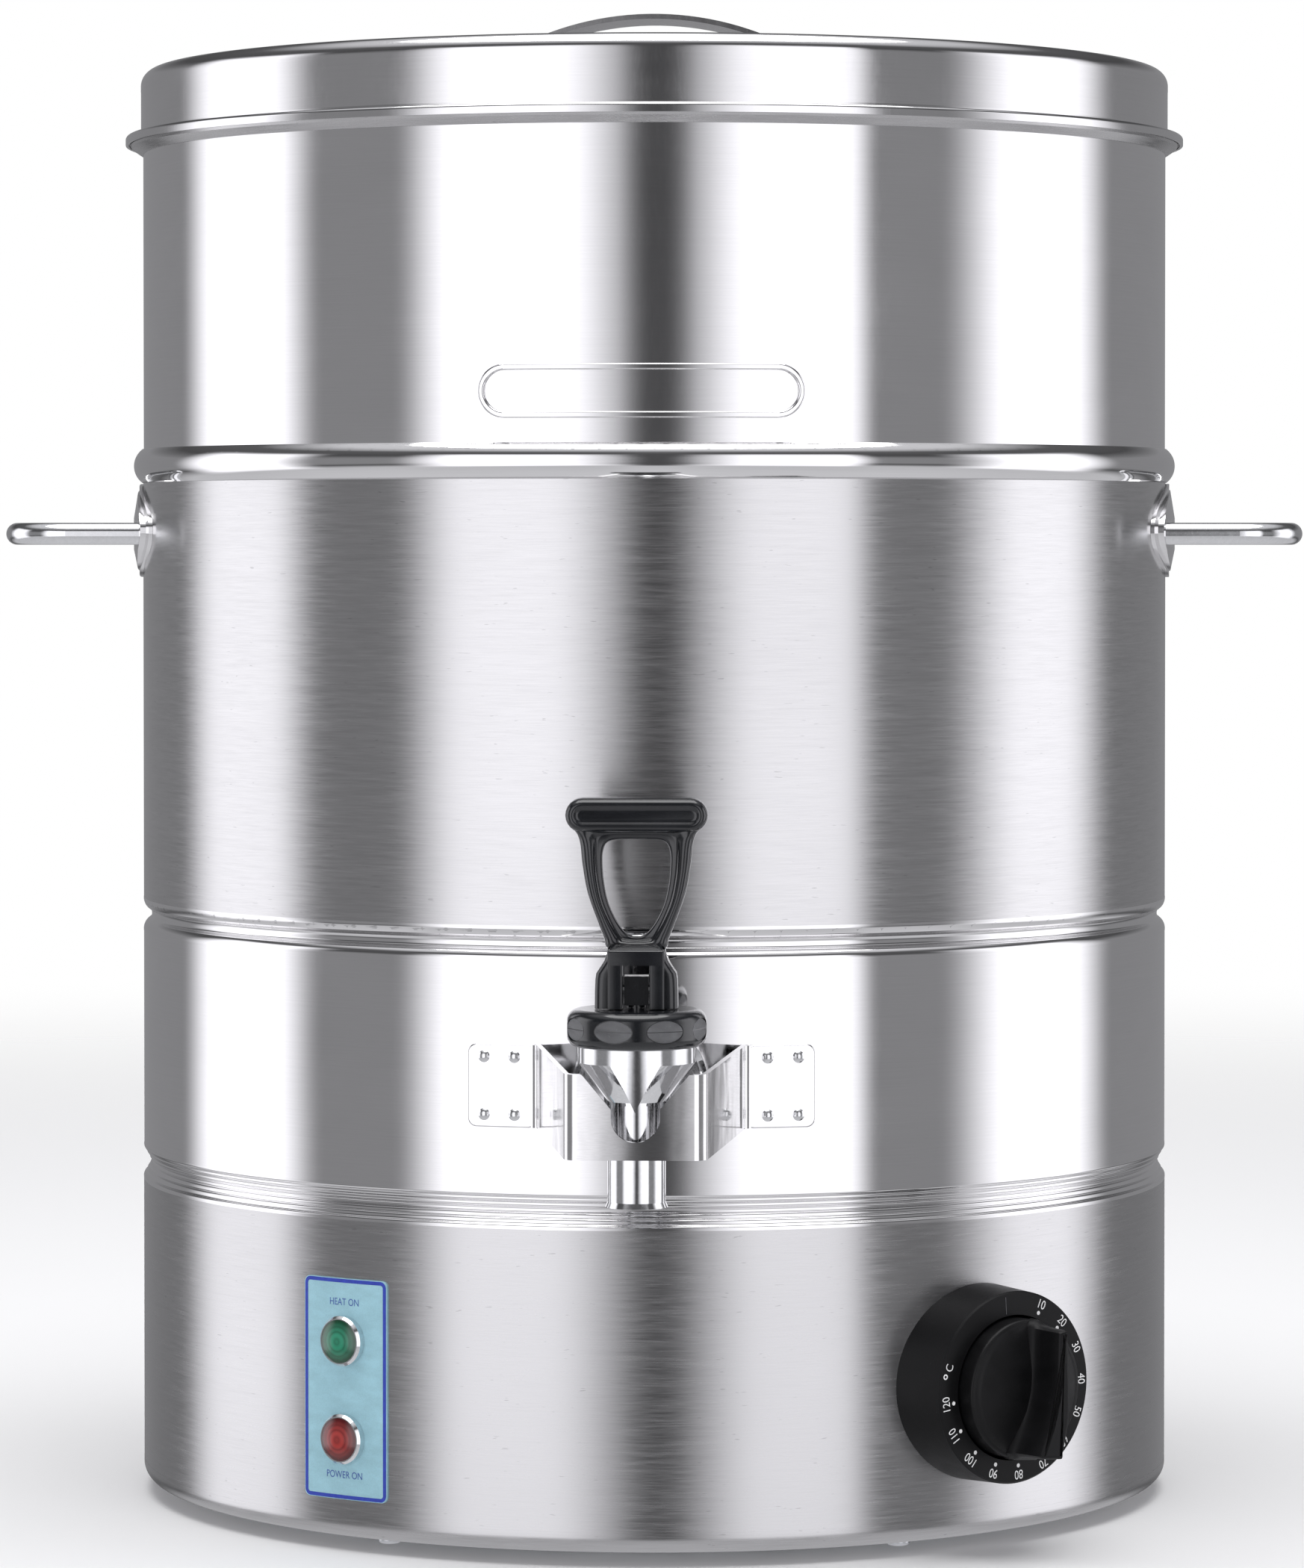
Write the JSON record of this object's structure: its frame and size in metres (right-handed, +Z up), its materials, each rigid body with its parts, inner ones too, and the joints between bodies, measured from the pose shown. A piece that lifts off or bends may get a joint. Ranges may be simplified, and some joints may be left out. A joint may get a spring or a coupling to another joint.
{
  "type": "electric all in one brewer",
  "caption": "Tall cylindrical stainless steel electric urn with a lift-off lid, wire side handles, a guarded self-closing lever tap, indicator lamps and a thermostat dial.",
  "frame": {"origin": "centre of the vessel's axis on the plane that its foot ring stands on", "axes": "+Z up along the vessel's axis, the tap on the -Y side, +X through the right-hand side handle"},
  "size_m": [0.416, 0.406, 0.4753],
  "materials": {
    "brushed_skirt": "brushed",
    "brushed_wall": "brushed",
    "polished_wall": "mirror polished",
    "tank_steel": "satin",
    "insulation": "fibre mat",
    "element_sheath": "dark satin",
    "brass_parts": "turned",
    "silicone": "matte",
    "base_sheet": "galvanised",
    "zinc_screws": "plated",
    "foot_rubber": "matte",
    "white_plastic": "matte",
    "gland_plastic": "matte",
    "copper_tube": "drawn",
    "wire_insulation": "matte",
    "dial_plastic": "satin",
    "knob_plastic": "satin",
    "label_film": "satin print",
    "chrome_trim": "polished",
    "green_lens": "tinted",
    "red_lens": "tinted",
    "tap_chrome": "plated",
    "tap_plastic": "gloss",
    "spring_steel": "drawn",
    "guard_steel": "polished",
    "rivet_steel": "satin",
    "handle_plate_steel": "polished",
    "handle_wire_steel": "polished",
    "lid_steel": "polished",
    "lid_handle_steel": "polished"
  },
  "bodies": {
    "vessel": {"base_skirt": "brushed_skirt", "lower_band": "polished_wall", "middle_shell": "brushed_wall", "upper_shell": "polished_wall", "inner_tank": "tank_steel", "insulation_jacket": "insulation", "heating_element": "element_sheath", "element_bushes": "brass_parts", "element_gaskets": "silicone", "element_nuts": "brass_parts", "base_plate": "base_sheet", "base_plate_screws": "zinc_screws", "foot_ring": "foot_rubber", "foot_ring_screws": "zinc_screws", "earth_stud": "brass_parts", "terminal_block": "white_plastic", "cord_gland": "gland_plastic", "cord_gland_nut": "gland_plastic", "thermostat_body": "white_plastic", "sensor_capillary": "copper_tube", "sensor_clip": "base_sheet", "thermal_cutout": "white_plastic", "internal_wires": "wire_insulation", "dial_bezel": "dial_plastic", "dial_screws": "zinc_screws", "label_panel": "label_film", "lamp_bezel_green": "chrome_trim", "lamp_bezel_red": "chrome_trim", "lamp_lens_green": "green_lens", "lamp_lens_red": "red_lens", "lamp_bodies": "white_plastic", "lamp_nuts": "zinc_screws", "tap_body": "tap_chrome", "tap_outer_washer": "silicone", "tap_wall_sleeve": "tank_steel", "tap_inner_washer": "silicone", "tap_locknut": "tap_chrome", "tap_bonnet": "tap_plastic", "tap_return_spring": "spring_steel", "tap_guard": "guard_steel", "tap_guard_rivets": "rivet_steel", "left_handle_plate": "handle_plate_steel", "right_handle_plate": "handle_plate_steel", "left_handle_wire": "handle_wire_steel", "right_handle_wire": "handle_wire_steel", "side_handle_nuts": "zinc_screws"},
    "lid": {"lid_shell": "lid_steel", "lid_inner_pan": "lid_steel", "lid_handle": "lid_handle_steel", "lid_handle_rivets": "rivet_steel"},
    "plunger": {"tap_plunger": "tap_plastic", "tap_seat_cup": "silicone", "tap_lever_pin": "chrome_trim"},
    "lever": {"tap_lever": "tap_plastic"},
    "knob": {"thermostat_knob": "knob_plastic", "thermostat_shaft": "zinc_screws"}
  },
  "joints": [
    {"name": "lid_lift", "type": "slide", "parent": "vessel", "child": "lid", "axis": [0, 0, 1], "range_m": [0, 0.15]},
    {"name": "tap_plunger_lift", "type": "slide", "parent": "vessel", "child": "plunger", "axis": [0, 0, 1], "range_m": [0, 0.0036], "deforming": ["tap_return_spring"]},
    {"name": "tap_lever_tilt", "type": "hinge", "parent": "plunger", "child": "lever", "pos_m": [0, -0.21, 0.1761], "axis": [1, 0, 0], "range_deg": [0, 30], "stiffness_Nm_per_rad": 0.15, "springref_deg": -20.05},
    {"name": "thermostat_knob_turn", "type": "hinge", "parent": "vessel", "child": "knob", "pos_m": [0.10154, -0.13044, 0.0513], "axis": [-0.6143, 0.7891, 0], "range_deg": [0, 262]}
  ],
  "couplings": [
    {"joint": "tap_plunger_lift", "follows": "tap_lever_tilt", "m_per_rad": 0.0066845}
  ]
}
